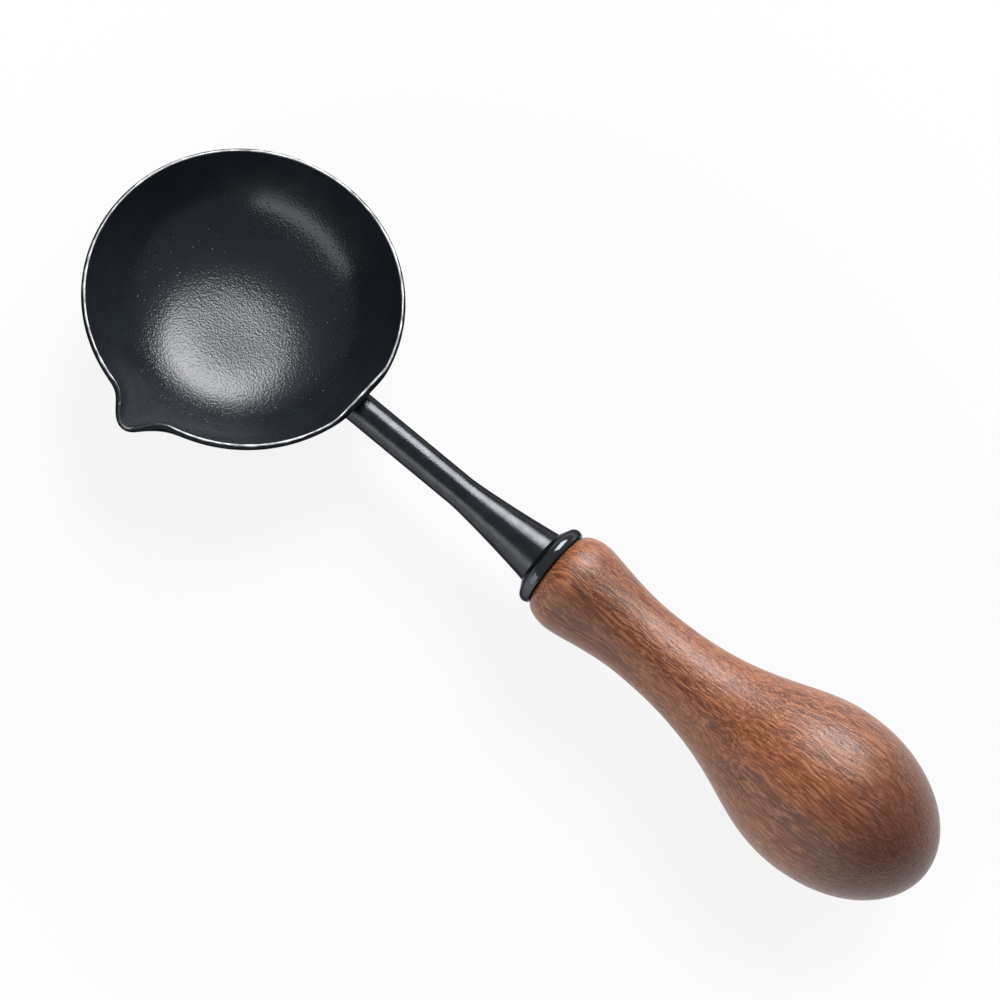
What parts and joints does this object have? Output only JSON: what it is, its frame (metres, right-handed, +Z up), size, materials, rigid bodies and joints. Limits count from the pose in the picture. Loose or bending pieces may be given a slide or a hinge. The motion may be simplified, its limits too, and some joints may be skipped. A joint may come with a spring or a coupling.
{
  "type": "wax sealing spoon",
  "caption": "Small black-coated melting spoon with a flat-bottomed bowl, a side pouring lip, a turned neck and a screw-on pear-shaped wooden handle, for melting and pouring sealing wax.",
  "frame": {"origin": "centre of the bowl's flat base, on the surface that the spoon rests on", "axes": "+X from the bowl along the handle, +Z up out of the bowl's mouth, -Y out of the pouring lip"},
  "size_m": [0.1093, 0.0364, 0.0184],
  "materials": {
    "bowl_coating": "black fine-grained release coating on pressed steel, satin, ground bare on the rim",
    "neck_black": "satin black coating on turned steel",
    "collar_black": "gloss black",
    "fibre": "dark vulcanised fibre, matte",
    "steel": "bare steel, ground or rolled",
    "brass": "turned brass",
    "wood": "red-brown ribbon-figured hardwood, turned, sanded and oiled"
  },
  "bodies": {
    "spoon_head": {"bowl": "bowl_coating", "braze_fillet": "neck_black", "neck": "neck_black", "collar": "collar_black", "stud": "steel"},
    "washer": {"washer": "fibre"},
    "grip": {"handle": "wood", "insert": "brass"}
  },
  "joints": [
    {"name": "screw_off", "type": "slide", "parent": "spoon_head", "child": "washer", "axis": [0.9995, 0, 0.0321], "range_m": [0, 0.005]},
    {"name": "handle_turn", "type": "hinge", "parent": "washer", "child": "grip", "pos_m": [0.04329, 0, 0.00806], "axis": [0.9995, 0, 0.0321], "range_deg": [0, 3600]}
  ],
  "couplings": [
    {"joint": "handle_turn", "follows": "screw_off", "rad_per_m": 12566}
  ]
}
